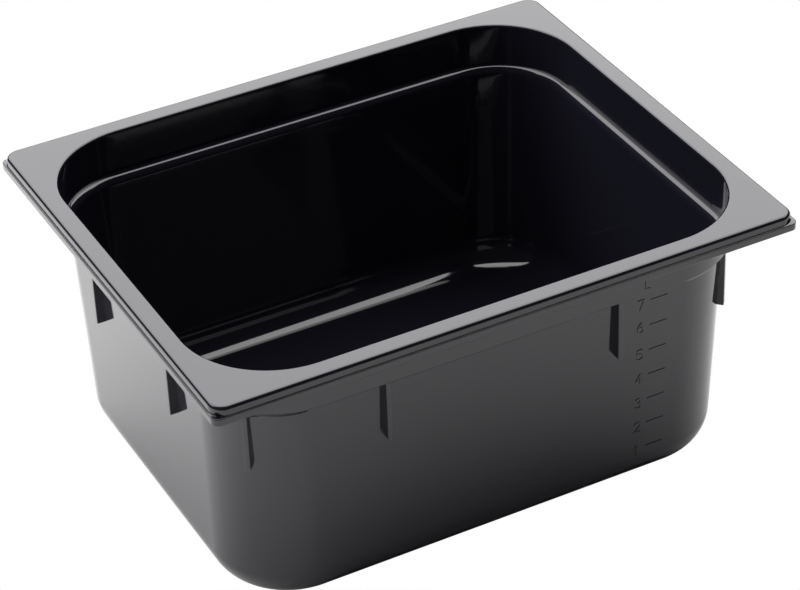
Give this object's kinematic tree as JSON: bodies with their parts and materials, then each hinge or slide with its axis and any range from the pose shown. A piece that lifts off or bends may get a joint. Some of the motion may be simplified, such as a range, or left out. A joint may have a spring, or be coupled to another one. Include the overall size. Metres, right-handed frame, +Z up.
{
  "type": "gastronorm food pan",
  "caption": "Deep rectangular food pan with a flanged hanging rim, rounded corners, an inner stacking ledge, outer stacking ribs and a raised litre scale.",
  "frame": {"origin": "middle of the flat underside, on the surface that the pan stands on", "axes": "+X along the long side, +Y along the short side towards the back, +Z up to the rim"},
  "size_m": [0.325, 0.265, 0.153],
  "materials": {
    "pan_plastic": "polished mould gloss black",
    "rib_plastic": "polished mould gloss black",
    "scale_plastic": "polished raised numerals in the same black"
  },
  "bodies": {
    "root": {"tub": "pan_plastic", "upper_band": "pan_plastic", "rim": "pan_plastic", "litre_scale": "scale_plastic", "rib_front_left": "rib_plastic", "rib_front_right": "rib_plastic", "rib_back_left": "rib_plastic", "rib_back_right": "rib_plastic", "rib_left_front": "rib_plastic", "rib_left_back": "rib_plastic", "rib_right_front": "rib_plastic", "rib_right_back": "rib_plastic", "rib_corner_front_left": "rib_plastic", "rib_corner_front_right": "rib_plastic", "rib_corner_back_left": "rib_plastic", "rib_corner_back_right": "rib_plastic"}
  },
  "joints": []
}
